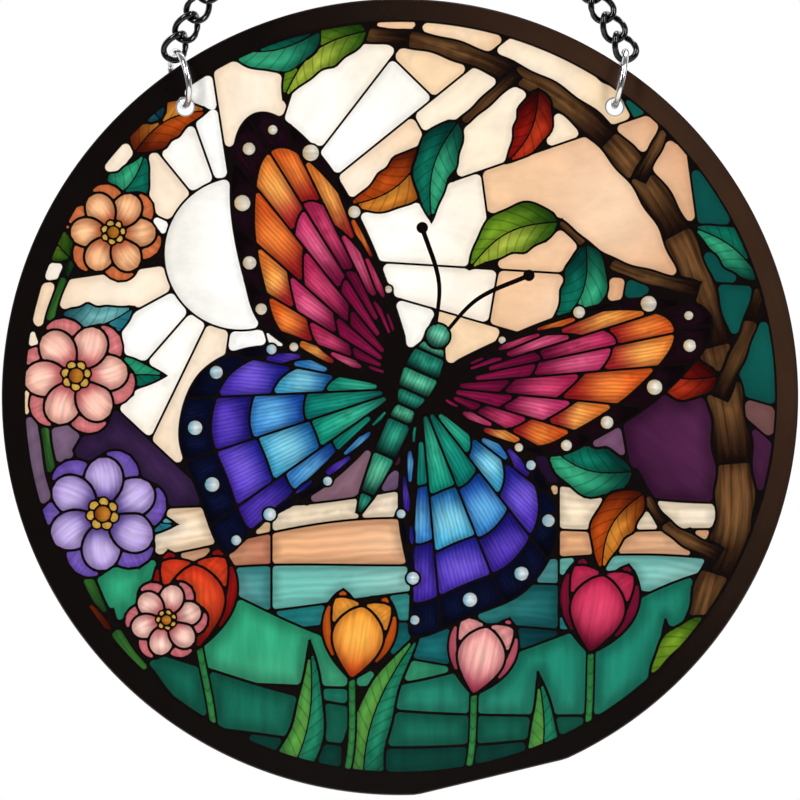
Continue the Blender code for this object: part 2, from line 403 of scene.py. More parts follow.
WINE = [("#2a0a1c", "#8e1850", "#b52c6a"), ("#300b20", "#7a1446", "#a3245c")]
MAGENTA = [("#8e1850", "#d8437e", "#f07aa0"), ("#7a1446", "#c22f66", "#e8608c")]
FLAME = [("#b52c3a", "#f28a3c", "#fbc06a"), ("#a8242e", "#e86a2c", "#f59a4c")]
HEM = [("#2a0f1e", "#12080f", "#3c1a2c")]
TEAL = [("#073c40", "#159a86", "#4fd0ae"), ("#083840", "#0f7f78", "#2fb59c")]
AZURE = [("#1668a8", "#4ab4dc", "#9ce0ee"), ("#1b4fa8", "#3f8fd8", "#7cc4ec")]
VIOLET = [("#2b2f9c", "#5b3fc0", "#8a6fe0"), ("#2a2484", "#4a2fa8", "#7558d0")]
NAVY = [("#0c1436", "#060a1c", "#18234c")]
COOL_SPOT = ("#8fd4ee", "#e6f7fb", "#ffffff")
WARM_SPOT = ("#f6d9a8", "#fff3da", "#ffffff")
for side, reach in ((1, 0.94), (-1, 1.0)):
    wing(HIND, side, reach, (0, 0.42, 0.66, 0.86, 1), 9, (TEAL, AZURE, VIOLET, NAVY), COOL_SPOT)
    wing(FORE, side, reach, (0, 0.38, 0.64, 0.87, 1), 10, (WINE, MAGENTA, FLAME, HEM), WARM_SPOT)


def on_butterfly(along):
    """A point on the butterfly's axis, so far towards its head."""
    return BUTTERFLY + TILT * complex(0, along)


BODY = [(-24, 0.5), (-20, 1.5), (-12, 2.3), (-5, 2.4), (-2, 2.0), (1, 3.2), (5, 3.7), (9, 3.1), (11, 2.0)]
BODY_TONES = [("#0a2f30", "#17786c", "#48b89c"), ("#0d4038", "#2fa486", "#7fdcb8")]
HEAD_TONES = ("#0d4038", "#2fa486", "#8fe3c4")
HEAD_RADIUS = 2.4
KNOB_RADIUS = 1.1
BLACK_INK = ("#140d0b",) * 3
for n, ((start, half), (end, next_half)) in enumerate(zip(BODY, BODY[1:])):
    spine = on_butterfly(start) + (on_butterfly(end) - on_butterfly(start)) * np.linspace(0, 1, 6)
    widths = np.linspace(half, next_half, 6)
    paint("wing", ribbon(spine, widths, widths), spine, BODY_TONES[n % 2])
for side in (-1, 1):
    feeler = BUTTERFLY + TILT * smooth([side * 0.8 + 13j, side * 4 + 22j, side * 11 + 30j], 24)
    thickness = np.linspace(0.34, 0.46, 24)
    paint("lead", ribbon(feeler, thickness, thickness), feeler, BLACK_INK, line=-1)
    paint("lead", circle(feeler[-1], KNOB_RADIUS, 24), feeler[-2:], BLACK_INK, line=-1)
head = on_butterfly(12.6)
nape = TILT * complex(0, HEAD_RADIUS)
paint("wing", circle(head, HEAD_RADIUS, 28), [head - nape, head + nape], HEAD_TONES, line=0.3)


# Rim. A printed band with no thickness, brown at the upper right and nearly black at the lower left, closes
# the picture. The holes are drilled straight through the print.
BAND_WIDTH = 4.2
DARK_BAND, WARM_BAND = np.array([0x18, 0x12, 0x10]), np.array([0x46, 0x32, 0x26])


def band_tone(turn, lift=1.0):
    """The band's colour at a turn measured from straight right, warmest at the upper right."""
    warm = min(max((math.cos(turn - math.radians(30)) - 0.15) / 0.7, 0), 1)
    return "#%02x%02x%02x" % tuple(int(c) for c in (DARK_BAND + warm * (WARM_BAND - DARK_BAND)) * lift)


# Its lengths meet off the axes, so that no point of the grids further down lies on a joint
BAND_CELLS, OFF_AXIS = 24, 0.4
for n in range(BAND_CELLS):
    turn = np.linspace(n + OFF_AXIS, n + OFF_AXIS + 1, 16) * 2 * np.pi / BAND_CELLS
    arc = np.exp(1j * turn)
    band = np.concatenate([arc * (SHEET_RADIUS + 2), arc[::-1] * (SHEET_RADIUS - BAND_WIDTH)])
    tones = [band_tone(turn[0]), band_tone(turn[-1]), band_tone(turn[8], 1.06)]
    paint("rim", band, arc * (SHEET_RADIUS - BAND_WIDTH / 2), tones, line=-1)
for hole in HOLES:
    paint("hole", circle(hole, HOLE_RADIUS + EDGE_CHAMFER, 40), [hole, hole + 1], ("#ffffff",) * 3, line=-1)
face_outline = sheet_outline(EDGE_CHAMFER)


# The cells are cut against each other into one flat mesh. Each triangle belongs to the last cell painted
# over it, and each point knows how far it lies from the nearest line between two cells.
AT_ONCE = 4096


def within(loop, places):
    """Which of the places lie inside a closed loop."""
    ends = np.roll(loop, -1)
    climb = np.where(ends.imag == loop.imag, 1, ends.imag - loop.imag)
    inside = np.zeros(len(places), bool)
    for first in range(0, len(places), AT_ONCE):
        some = places[first : first + AT_ONCE, None]
        crossed = loop.real + (some.imag - loop.imag) / climb * (ends.real - loop.real)
        passes = ((loop.imag <= some.imag) != (ends.imag <= some.imag)) & (some.real < crossed)
        inside[first : first + AT_ONCE] = passes.sum(axis=1) % 2 == 1
    return inside


def top_cells(places):
    """The number of the last cell painted over each place, or -1 off the sheet."""
    owner = np.full(len(places), -1)
    free = np.flatnonzero(within(face_outline, places))
    for number in range(len(cells) - 1, -1, -1):
        ring, left = cells[number][1], places[free]
        mine = ((left.real > ring.real.min()) & (left.real < ring.real.max())
                & (left.imag > ring.imag.min()) & (left.imag < ring.imag.max()))
        mine[mine] = within(ring, left[mine])
        owner[free[mine]] = number
        free = free[~mine]
    return owner


def arrange(extra):
    """The plane cut along every outline: points, triangles and each triangle's cell, or -1 off the sheet."""
    rings = [face_outline] + [cell[1] for cell in cells]
    starts = np.cumsum([0] + [len(ring) for ring in rings])
    edges = []
    for start, end in zip(starts, starts[1:]):
        edges += [(i, i + 1 if i + 1 < end else start) for i in range(start, end)]
    everything = [Vector((p.real, p.imag)) for p in np.concatenate(rings + [np.asarray(extra, complex)])]
    points, _, triangles, *_ = delaunay_2d_cdt(everything, edges, [], 0, 1e-4, True)
    points, triangles = np.array([complex(*p) for p in points]), np.array(triangles)
    return points, triangles, top_cells(points[triangles].mean(axis=1))


MIDRIB = 0.14
cell_lines = np.array([cell[4] for cell in cells] + [-1])
cell_kinds = np.array([cell[0] for cell in cells] + ["none"])


def borders(points, triangles, owner):
    """The edges where two cells meet in a line: ends, half the line's width, left and right cells."""
    seen, found = {}, []
    for corners, mine in zip(triangles.tolist(), owner.tolist()):
        for a, b in zip(corners, corners[1:] + corners[:1]):
            other = seen.pop((b, a), None)
            if other is None:
                seen[a, b] = mine
            elif other != mine:
                pair = [other, mine]
                line = max(cell_lines[pair]) if "rim" in cell_kinds[pair] else min(cell_lines[pair])
                if abs(other - mine) == 1 and all(cell_kinds[pair] == "leaf"):
                    line = MIDRIB
                if line > 0:
                    found.append((points[a], points[b], line, mine, other))
    return (np.array(column) for column in zip(*found))


def lookup(places, heights):
    """A search tree of the places, each lifted to its height."""
    tree = KDTree(len(places))
    for i, (place, height) in enumerate(zip(places, heights)):
        tree.insert((place.real, place.imag, height), i)
    tree.balance()
    return tree


points, triangles, owner = arrange([])
starts, ends, widths, lefts, rights = borders(points, triangles, owner)
SAMPLE_STEP = 0.12
across = 1j * (ends - starts) / np.abs(ends - starts)
counts = np.maximum(1, np.ceil(np.abs(ends - starts) / SAMPLE_STEP).astype(int))
numbers = np.repeat(np.arange(len(starts)), counts)
shares = np.concatenate([(np.arange(count) + 0.5) / count for count in counts])
samples = starts[numbers] + (ends - starts)[numbers] * shares
lines = lookup(samples, 0 * counts[numbers])


def plain_distance(places):
    """How far each place lies from the edge of the nearest line between two cells; less than zero on it."""
    found = [lines.find((p.real, p.imag, 0))[1:] for p in places]
    return np.array([gap - widths[numbers[sample]] for sample, gap in found])


# Glass is never cut to a sharp inner corner, and the joint is filled. So each cell's corners are rounded:
# what a disc of its corner's radius can't reach from inside the cell is line too. The centres that such a
# disc can take are the cell's core. All cores are in one search tree, each cell's at its own height.
CORNERS = {"sky": 0.85, "hill": 0.6, "bark": 0.5, "wing": 0.4, "water": 0.4, "petal": 0.25, "leaf": 0.25}
SMALLEST_CORNER, CORNER_SHARE = 0.2, 0.6
CORE_STEP, CORE_PLAY = 0.5, 0.01
LIFT = 5
GRID_END = round(SHEET_RADIUS)
ticks = np.arange(-GRID_END, GRID_END + 0.1, CORE_STEP)
places = (ticks + 1j * ticks[:, None]).ravel()
owners = top_cells(places)
places, owners = places[owners >= 0], owners[owners >= 0]
depths = plain_distance(places)
deepest = np.zeros(len(cells) + 1)
np.maximum.at(deepest, owners, depths)
largest = [CORNERS.get(kind, 0) for kind in cell_kinds]
corner_radii = np.minimum(np.maximum(CORNER_SHARE * deepest, SMALLEST_CORNER), largest)
deep = (depths >= corner_radii[owners]) & (corner_radii[owners] > 0)
cores, core_cells = [places[deep]], [owners[deep]]
for side, beyond in ((1, lefts[numbers]), (-1, rights[numbers])):
    centres = (samples + side * across[numbers] * (widths[numbers] + corner_radii[beyond]))[::2]
    beyond = beyond[::2]
    deep = (plain_distance(centres) > corner_radii[beyond] - CORE_PLAY) & (corner_radii[beyond] > 0)
    cores.append(centres[deep])
    core_cells.append(beyond[deep])
cores, heights = np.concatenate(cores), LIFT * np.concatenate(core_cells)
core_tree = lookup(cores, heights)

# A scrap too small to be cut from glass is left out, and its place is filled. Only flowers keep theirs.
SCRAP_REACH, SCRAP_COUNT = 1.2, 10
company = [len(core_tree.find_range((p.real, p.imag, h), SCRAP_REACH)) for p, h in zip(cores, heights)]
whole = (np.array(company) > SCRAP_COUNT) | (cell_kinds[heights // LIFT] == "petal")
core_tree = lookup(cores[whole], heights[whole])
CORNER_MARGIN, MIDDLE_OF_LINE = 0.4, -0.6


def line_distance(places, owners):
    """How far each place lies from the edge of the nearest dark line, its cell's corners rounded."""
    distances, radii = plain_distance(places), corner_radii[owners]
    for i in np.flatnonzero((distances < radii + CORNER_MARGIN) & (radii > 0)):
        _, _, away = core_tree.find((places[i].real, places[i].imag, LIFT * owners[i]))
        if distances[i] < radii[i] or away > SCRAP_REACH:
            distances[i] = min(distances[i], max(radii[i] - away, MIDDLE_OF_LINE))
    return distances


def of_points(count, triangles, owner):
    """The cell of each point, and on a border one of its cells."""
    cell = np.full(count, -1)
    cell[triangles.ravel()] = np.repeat(owner, 3)
    return cell


# The mesh gets points beside every line and in rows between them. Where a triangle would still draw its line
# askew, it is cut again at its middle and along its sides.
BESIDE_LINE, CLEAR_OF_LINE = 0.08, 0.05
COLUMN_STEP, ROW_STEP, ROW_CLEARANCE = 1.7, 1.5, 0.6
beside = np.concatenate([(starts + ends) / 2 + side * across * (widths + BESIDE_LINE) for side in (-1, 1)])
beside = beside[plain_distance(beside) > CLEAR_OF_LINE]
columns, rows = (np.arange(-GRID_END, GRID_END + 1, step) for step in (COLUMN_STEP, ROW_STEP))
shifts = COLUMN_STEP / 2 * (np.arange(len(rows)) % 2)
inside = (columns + shifts[:, None] + 1j * rows[:, None]).ravel()
inside = inside[plain_distance(inside) > ROW_CLEARANCE]
extra = np.concatenate([beside, inside])
UNSURE_BELOW, SMALLEST_SPAN, TOLERANCE = 0.4, 0.35, 0.06
LINE_EDGE = (-0.2, 0.12)
for again in range(3):
    points, triangles, owner = arrange(extra)
    lead = line_distance(points, of_points(len(points), triangles, owner))
    corners, mine = triangles[owner >= 0], owner[owner >= 0]
    for parts in (corners, corners[:, :2], corners[:, 1:], corners[:, ::2]):
        middles, guess = points[parts].mean(axis=1), lead[parts].mean(axis=1)
        spans = np.ptp(points[parts].real, axis=1) + np.ptp(points[parts].imag, axis=1)
        unsure = (guess < UNSURE_BELOW) & (spans > SMALLEST_SPAN)
        middles, guess = middles[unsure], guess[unsure]
        true = line_distance(middles, mine[unsure])
        askew = (np.abs(true - guess) > TOLERANCE) & (true > LINE_EDGE[0])
        askew &= np.minimum(true, guess) < LINE_EDGE[1]
        extra = np.concatenate([extra, np.unique(np.round(middles[askew], 3))])
points, triangles, owner = arrange(extra)
lead = line_distance(points, of_points(len(points), triangles, owner))
keep = np.array([o >= 0 and cells[o][0] != "hole" for o in owner])
triangles, owner = triangles[keep], owner[keep]


def rims_of(faces):
    """The closed loops of points round the sheet and round its holes."""
    pairs = {(int(a), int(b)) for corners in faces for a, b in zip(corners, np.roll(corners, -1))}
    following = {a: b for a, b in sorted(pairs) if (b, a) not in pairs}
    loops = []
    while following:
        start, after = following.popitem()
        loop = [start]
        while after != start:
            loop.append(after)
            after = following.pop(after)
        loops.append(loop)
    return loops


# The front face of the sheet is that flat mesh. The print runs over the eased front edge; the rim, the walls
# of the holes and the back are the bare acrylic that carries it.
used = np.unique(triangles)
renumbered = np.full(len(points), -1)
renumbered[used] = np.arange(len(used))
front = renumbered[triangles]
flat, depths = list(points[used]), [-SHEET_THICKNESS / 2] * len(used)
bare, lips, back_rims = [], [], []
for loop in rims_of(front):
    ring = points[used[loop]]
    way = np.roll(ring, -1) - np.roll(ring, 1)
    full = ring - 1j * way / np.abs(way) * EDGE_CHAMFER
    at_hole, previous = len(loop) < len(face_outline) / 2, loop
    for place, depth in (
        (full, EDGE_CHAMFER - SHEET_THICKNESS / 2),
        (full, SHEET_THICKNESS / 2 - EDGE_CHAMFER),
        (ring, SHEET_THICKNESS / 2),
    ):
        lips += ["drilled" if at_hole else "lead" if previous is loop else "clear"] * len(ring)
        current = list(range(len(flat), len(flat) + len(ring)))
        flat.extend(place)
        depths.extend([depth] * len(ring))
        for i, j in zip(range(len(ring)), [*range(1, len(ring)), 0]):
            bare.append((previous[j], previous[i], current[i], current[j]))
        previous = current
    back_rims += zip(previous, previous[1:] + previous[:1])
mesh = bpy.data.meshes.new("panel_sheet")
vertices = [SHEET_CENTRE + Vector((p.real, depth, p.imag)) * MM for p, depth in zip(flat, depths)]
mesh.from_pydata(vertices, [], [tuple(map(int, corners)) for corners in front] + bare)
shape = bmesh.new()
shape.from_mesh(mesh)
shape.verts.ensure_lookup_table()
edges = [shape.edges.get((shape.verts[a], shape.verts[b])) for a, b in back_rims]
bmesh.ops.triangle_fill(shape, edges=edges, normal=(0, 1, 0))
shape.to_mesh(mesh)
shape.free()


# Its points know how far they lie from a line, and its corners their tone and their place along the cell.
def linear(code):
    """An sRGB hex colour as the linear values that a shader takes."""
    srgb = np.array([int(code[i : i + 2], 16) for i in (1, 3, 5)]) / 255
    return np.where(srgb <= 0.04045, srgb / 12.92, ((srgb + 0.055) / 1.055) ** 2.4)


def along_spine(spine, places):
    """How far each place lies along a spine and to its left, in millimetres, and the spine's length."""
    lengths = np.concatenate([[0], np.cumsum(np.abs(np.diff(spine)))])
    steps = np.linspace(0, lengths[-1], 40)
    line = np.interp(steps, lengths, spine.real) + 1j * np.interp(steps, lengths, spine.imag)
    way = np.gradient(line)
    way /= np.abs(way)
    nearest = np.argmin(np.abs(places[:, None] - line), axis=1)
    offset = (places - line[nearest]) * np.conj(way[nearest])
    return steps[nearest] + offset.real, offset.imag, lengths[-1]


INK_DENSITY = 1.18
GLOW, GLOW_PLACE, GLOW_LENGTH, GLOW_NARROWNESS = 0.8, 0.58, 0.3, 1.4
CELL_OFFSET = 7.3
corner_places = points[triangles].reshape(-1, 3)
tone = np.tile(np.float32([*linear("#1c1311"), 1]), (len(mesh.loops), 1))
along = np.zeros((len(mesh.loops), 2), np.float32)
for number, (_, _, spine, tones, _) in enumerate(cells):
    mine = np.flatnonzero(owner == number)
    if not len(mine):
        continue
    corners = (mine[:, None] * 3 + np.arange(3)).ravel()
    u, v, length = along_spine(spine, corner_places[mine].ravel())
    share = np.clip(u / length, 0, 1)[:, None]
    aside = (v / max(np.abs(v).max(), 1e-6))[:, None]
    start, end, glow = (linear(code) for code in tones)
    glowing = GLOW * np.exp(-(((share - GLOW_PLACE) / GLOW_LENGTH) ** 2) - GLOW_NARROWNESS * aside**2)
    base = start + (end - start) * share * share * (3 - 2 * share)
    tone[corners, :3] = (base + (glow - base) * glowing) ** INK_DENSITY
    along[corners] = np.stack([u + CELL_OFFSET * number, v], axis=1)
distance = np.ones(len(mesh.vertices), np.float32)
distance[: len(used)] = lead[used]
mesh.attributes.new("lead", "FLOAT", "POINT").data.foreach_set("value", distance)
mesh.attributes.new("tone", "FLOAT_COLOR", "CORNER").data.foreach_set("color", tone.ravel())
mesh.uv_layers.new(name="along").data.foreach_set("uv", along.ravel())
panel = bpy.data.objects.new("panel_sheet", mesh)
bpy.context.scene.collection.objects.link(panel)
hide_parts("panel")
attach(panel, "root")


def add(tree, kind, inputs=None, **settings):
    """One node, with its settings, and with what each input holds or is linked to."""
    made = tree.nodes.new(kind)
    for name, value in settings.items():
        setattr(made, name, value)
    for name, value in (inputs or {}).items():
        if isinstance(value, bpy.types.NodeSocket):
            tree.links.new(value, made.inputs[name])
        else:
            made.inputs[name].default_value = value
    return made


def new_material(name):
    material = bpy.data.materials.new(name)
    material.use_nodes = True
    material.node_tree.nodes.clear()
    return material, material.node_tree


def rgba(code):
    return (*linear(code), 1)


# Cast acrylic. Clear, polished and a little green at the edge; it shows the print from behind.
acrylic, tree = new_material("clear cast acrylic")
glass = add(tree, "ShaderNodeBsdfPrincipled", {
    "Base Color": rgba("#f4fbf8"), "Roughness": 0.03, "IOR": 1.49, "Transmission Weight": 1.0})
add(tree, "ShaderNodeOutputMaterial", {"Surface": glass.outputs[0]})


# Drilled acrylic. The bit leaves the wall and the eased lips of each hole frosted. Their mid-grey base colour
# and low transmission are painted shade, standing in for the shaded bore wall seen in the hole.
frosted_shaded_acrylic, tree = new_material("drilled acrylic with painted shade")
# The grey base colour is painted shade for the hole's wall; the frosting is the roughness.
wall = add(tree, "ShaderNodeBsdfPrincipled", {
    "Base Color": rgba("#8b9290"), "Roughness": 0.55, "IOR": 1.49, "Transmission Weight": 0.25})
add(tree, "ShaderNodeOutputMaterial", {"Surface": wall.outputs[0]})


# UV-cured print. Thin translucent ink with a soft sheen: it takes light from the front and passes some from
# behind. Each kind of cell has its own fine strokes, which follow the cell, and darkens towards its lines.
def reckon(tree, operation, *values):
    """One step of arithmetic on numbers or sockets."""
    return add(tree, "ShaderNodeMath", dict(enumerate(values)), operation=operation).outputs[0]


def between(tree, value, low, high, out_low, out_high, interpolation="LINEAR"):
    """A value's range made another range, past which it stays."""
    inputs = dict(enumerate((value, low, high, out_low, out_high)))
    return add(tree, "ShaderNodeMapRange", inputs, interpolation_type=interpolation).outputs[0]


LINE_INK = "#0d0807"
LIGHT_THROUGH = 0.35


def ink(name, strokes, shade_reach=2.3, shade_depth=0.52):
    """An ink that darkens by a share, its depth, over so many millimetres towards its lines."""
    material, tree = new_material(name)
    tone = add(tree, "ShaderNodeAttribute", attribute_name="tone").outputs["Color"]
    lead = add(tree, "ShaderNodeAttribute", attribute_name="lead").outputs["Fac"]
    place = add(tree, "ShaderNodeSeparateXYZ", {0: add(tree, "ShaderNodeUVMap", uv_map="along").outputs[0]})
    shade = between(tree, lead, 0.0, shade_reach, 1 - shade_depth, 1.0, "SMOOTHSTEP")
    strength = reckon(tree, "MULTIPLY", shade, strokes(tree, *place.outputs[:2]))
    glass_tone = add(tree, "ShaderNodeVectorMath", {0: tone, "Scale": strength}, operation="SCALE").outputs[0]
    line = between(tree, lead, -0.07, 0.05, 1.0, 0.0, "SMOOTHSTEP")
    mixed = add(tree, "ShaderNodeMix", {0: line, 6: glass_tone, 7: rgba(LINE_INK)}, data_type="RGBA")
    colour = mixed.outputs[2]
    reflected = add(tree, "ShaderNodeBsdfPrincipled", {"Base Color": colour, "Roughness": 0.2})
    passed = add(tree, "ShaderNodeBsdfTranslucent", {"Color": colour})
    both = add(tree, "ShaderNodeMixShader", {0: LIGHT_THROUGH, 1: reflected.outputs[0], 2: passed.outputs[0]})
    add(tree, "ShaderNodeOutputMaterial", {"Surface": both.outputs[0]})
    return material


def stretched_noise(tree, u, v, u_mm, v_mm, detail=2.0):
    """Noise whose grains are so many millimetres long and wide."""
    place = add(tree, "ShaderNodeCombineXYZ", {
        0: reckon(tree, "MULTIPLY", u, 1 / u_mm), 1: reckon(tree, "MULTIPLY", v, 1 / v_mm)})
    noise = add(tree, "ShaderNodeTexNoise", {"Vector": place.outputs[0], "Scale": 1.0, "Detail": detail})
    return noise.outputs[0]


def rippled_glass(tree, u, v):
    """Broad pale clouds, 9 mm across, with faint seed marks."""
    clouds = between(tree, stretched_noise(tree, u, v, 9, 6, 4.0), 0.35, 0.65, 0.93, 1.05)
    seeds = between(tree, stretched_noise(tree, u, v, 2.2, 1.1), 0.3, 0.7, 0.97, 1.02)
    return reckon(tree, "MULTIPLY", clouds, seeds)


def leaf_veins(tree, u, v):
    """Side veins every 2.6 mm that leave the midrib at a slant."""
    slant = reckon(tree, "MULTIPLY_ADD", reckon(tree, "ABSOLUTE", v), -1.1, u)
    vein = between(tree, reckon(tree, "PINGPONG", slant, 1.3), 0.06, 0.34, 0.58, 1.0)
    blotches = between(tree, stretched_noise(tree, u, v, 3, 1.6), 0.3, 0.7, 0.84, 1.14)
    return reckon(tree, "MULTIPLY", vein, blotches)


def petal_streaks(tree, u, v):
    """Soft streaks, 0.8 mm wide, from the petal's foot to its lip."""
    return between(tree, stretched_noise(tree, u, v, 9, 0.8, 3.0), 0.3, 0.7, 0.72, 1.16)


def wing_barbs(tree, u, v):
    """Fine barbs along the wing, 0.7 mm apart, over streaks."""
    bent = reckon(tree, "MULTIPLY_ADD", stretched_noise(tree, u, v, 5, 2), 0.8, v)
    barbs = between(tree, reckon(tree, "PINGPONG", bent, 0.36), 0.02, 0.3, 0.70, 1.06)
    streaks = between(tree, stretched_noise(tree, u, v, 6, 1.2), 0.3, 0.7, 0.78, 1.2)
    return reckon(tree, "MULTIPLY", barbs, streaks)


def bark_grain(tree, u, v):
    """Long dark grain, 0.9 mm wide, that wanders round knots."""
    return between(tree, stretched_noise(tree, u, v, 14, 0.9, 4.0), 0.38, 0.62, 0.42, 1.25)


def water_ripples(tree, u, v):
    """Level ripples, 1.5 mm apart, that bend."""
    bent = reckon(tree, "MULTIPLY_ADD", stretched_noise(tree, u, v, 12, 4), 3.0, v)
    return between(tree, reckon(tree, "PINGPONG", bent, 0.75), 0.0, 0.75, 0.84, 1.08)


def hill_wash(tree, u, v):
    """A brushed wash that runs down the slope."""
    return between(tree, stretched_noise(tree, u, v, 16, 2.5, 3.0), 0.3, 0.7, 0.78, 1.14)


def plain(tree, u, v):
    """Flat ink, a little uneven."""
    return between(tree, stretched_noise(tree, u, v, 12, 1.5), 0.3, 0.7, 0.93, 1.05)


INKS = {
    "sky": ink("printed rippled glass", rippled_glass, 1.6, 0.16),
    "leaf": ink("printed leaf", leaf_veins),
    "petal": ink("printed petal", petal_streaks, 1.8, 0.45),
    "wing": ink("printed wing", wing_barbs, 1.6, 0.45),
    "bark": ink("printed bark", bark_grain, 2.0, 0.5),
    "water": ink("printed water", water_ripples, 2.4, 0.4),
    "hill": ink("printed hill", hill_wash, 3.4, 0.5),
    "rim": ink("printed rim band", plain, 0.01, 0.0),
    "lead": ink("printed line", plain, 0.01, 0.0),
    "clear": acrylic,
    "drilled": frosted_shaded_acrylic,
}
for material in INKS.values():
    mesh.materials.append(material)
slot_of = {kind: number for number, kind in enumerate(INKS)}
slots = np.full(len(mesh.polygons), slot_of["clear"], np.int32)
slots[: len(owner)] = [slot_of[cells[number][0]] for number in owner]
slots[len(owner) : len(owner) + len(lips)] = [slot_of[kind] for kind in lips]
mesh.polygons.foreach_set("material_index", slots)
mesh.shade_smooth()
mesh.set_sharp_from_angle(angle=math.radians(30))
mesh.update()


# Split rings. Bright nickel-plated wire, 1.2 mm thick, bent round and butted; each passes through its
# hole and over the rim. A ring lies where its node lies, in the plane of that node's two widest spreads,
# and its slit is at the back.
def placed_like(node):
    """The centre of a CAD node and its axes, from its narrowest spread to its widest."""
    spots = np.array([v.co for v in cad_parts[node].data.vertices], float)
    centre = (spots.max(axis=0) + spots.min(axis=0)) / 2
    _, axes = np.linalg.eigh(np.cov((spots - spots.mean(axis=0)).T))
    if np.linalg.det(axes) < 0:
        axes[:, 0] *= -1
    return centre, axes, (spots - centre) @ axes


def tube(name, path, radii, sides, material, closed):
    """Round wire along a path: rings of points across it, joined into quads."""
    path = np.asarray(path, float)
    ahead = np.roll(path, -1, 0) - np.roll(path, 1, 0) if closed else np.gradient(path, axis=0)
    ahead /= np.linalg.norm(ahead, axis=1)[:, None]
    outward = path - path.mean(axis=0)
    outward -= (outward * ahead).sum(axis=1)[:, None] * ahead
    outward /= np.linalg.norm(outward, axis=1)[:, None]
    sideways = np.cross(ahead, outward)
    turn = 2 * np.pi * np.arange(sides) / sides
    rings = [p + r * (np.outer(np.cos(turn), o) + np.outer(np.sin(turn), s))
             for p, r, o, s in zip(path, radii, outward, sideways)]
    count = len(path)
    faces = []
    for i in range(count if closed else count - 1):
        j = (i + 1) % count
        faces += [(i * sides + k, i * sides + (k + 1) % sides, j * sides + (k + 1) % sides, j * sides + k)
                  for k in range(sides)]
    if not closed:
        faces += [tuple(range(sides))[::-1], tuple(range((count - 1) * sides, count * sides))]
    wire = bpy.data.meshes.new(name)
    wire.from_pydata([tuple(v) for v in np.concatenate(rings)], [], faces)
    wire.materials.append(material)
    wire.shade_smooth()
    wire.set_sharp_from_angle(angle=math.radians(50))
    return wire


def wire_piece(name, wire, node):
    piece = bpy.data.objects.new(name, wire)
    bpy.context.scene.collection.objects.link(piece)
    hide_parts(node)
    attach(piece, "root")


# Nickel plate on steel: mirror bright, with faint draw marks along the wire.
nickel, tree = new_material("bright nickel plate")
place = add(tree, "ShaderNodeTexCoord").outputs["Object"]
marks = add(tree, "ShaderNodeTexNoise", {"Vector": place, "Scale": 1800.0, "Detail": 3.0}).outputs[0]
plate = add(tree, "ShaderNodeBsdfPrincipled", {
    "Base Color": rgba("#d9dadd"), "Metallic": 1.0, "Roughness": between(tree, marks, 0.3, 0.7, 0.10, 0.22)})
dents = add(tree, "ShaderNodeBump", {"Strength": 0.08, "Distance": 0.00005, "Height": marks})
tree.links.new(dents.outputs[0], plate.inputs["Normal"])
add(tree, "ShaderNodeOutputMaterial", {"Surface": plate.outputs[0]})

RING_WIRE = 1.2 * MM
RING_SLIT = 0.12 * MM
SLIT_RISE = 0.5
CUT_EASE = 0.9
for side in ("left", "right"):
    centre, axes, local = placed_like(f"split_ring_{side}")
    radius = (local[:, 1:].max() - local[:, 1:].min()) / 2 - RING_WIRE / 2
    slit_way = axes.T @ np.array([0, math.cos(SLIT_RISE), math.sin(SLIT_RISE)])
    slit = math.atan2(slit_way[2], slit_way[1])
    half = RING_SLIT / radius / 2
    turn = np.linspace(slit + half, slit + 2 * np.pi - half, 121)
    path = centre + radius * (np.outer(np.cos(turn), axes[:, 1]) + np.outer(np.sin(turn), axes[:, 2]))
    radii = np.full(len(turn), RING_WIRE / 2)
    radii[[0, -1]] *= CUT_EASE
    wire = tube("split ring", path, radii, sides=16, material=nickel, closed=False)
    wire_piece(f"split_ring_{side}_wire", wire, f"split_ring_{side}")


# Chain. Steel wire, 1.2 mm thick, bent into ovals that are twisted so that the chain lies flat, butted at
# one side and plated glossy black. Each link lies where its node lies; here they touch as real links do.
black, tree = new_material("black plated steel")
place = add(tree, "ShaderNodeTexCoord").outputs["Object"]
grain = add(tree, "ShaderNodeTexNoise", {"Vector": place, "Scale": 1000.0, "Detail": 3.0}).outputs[0]
shine = add(tree, "ShaderNodeBsdfPrincipled", {
    "Base Color": rgba("#040405"), "Roughness": between(tree, grain, 0.3, 0.7, 0.14, 0.26), "IOR": 1.5,
    "Specular IOR Level": 0.15, "Coat Weight": 1.0, "Coat Roughness": 0.03, "Coat IOR": 1.36})
pits = add(tree, "ShaderNodeBump", {"Strength": 0.03, "Distance": 0.00005, "Height": grain})
tree.links.new(pits.outputs[0], shine.inputs["Normal"])
add(tree, "ShaderNodeOutputMaterial", {"Surface": shine.outputs[0]})

LINK_WIRE = 1.2 * MM
LINK_LENGTH = 6.62 * MM
LINK_WIDTH = 5.3 * MM
LINK_TWIST = math.radians(45)
LINK_ROUNDNESS = 2.5
LINK_POINTS = 56
BUTT_EASE = 0.86
turn = 2 * np.pi * (np.arange(LINK_POINTS) + 0.5) / LINK_POINTS
across, upwards = (np.sign(f) * np.abs(f) ** (2 / LINK_ROUNDNESS) for f in (np.cos(turn), np.sin(turn)))
across *= (LINK_WIDTH - LINK_WIRE) / 2
twist = LINK_TWIST * upwards
upwards *= (LINK_LENGTH - LINK_WIRE) / 2
link_path = np.stack([across * np.cos(twist), across * np.sin(twist), upwards], axis=1)
link_radii = np.full(len(turn), LINK_WIRE / 2)
link_radii[[0, -1]] *= BUTT_EASE
for name in [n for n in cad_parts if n.startswith("link_")]:
    centre, axes, _ = placed_like(name)
    path = centre + link_path @ np.stack([axes[:, 1], -axes[:, 0], axes[:, 2]])
    wire = tube("chain link", path, link_radii, sides=12, material=black, closed=True)
    wire_piece(f"{name}_wire", wire, name)


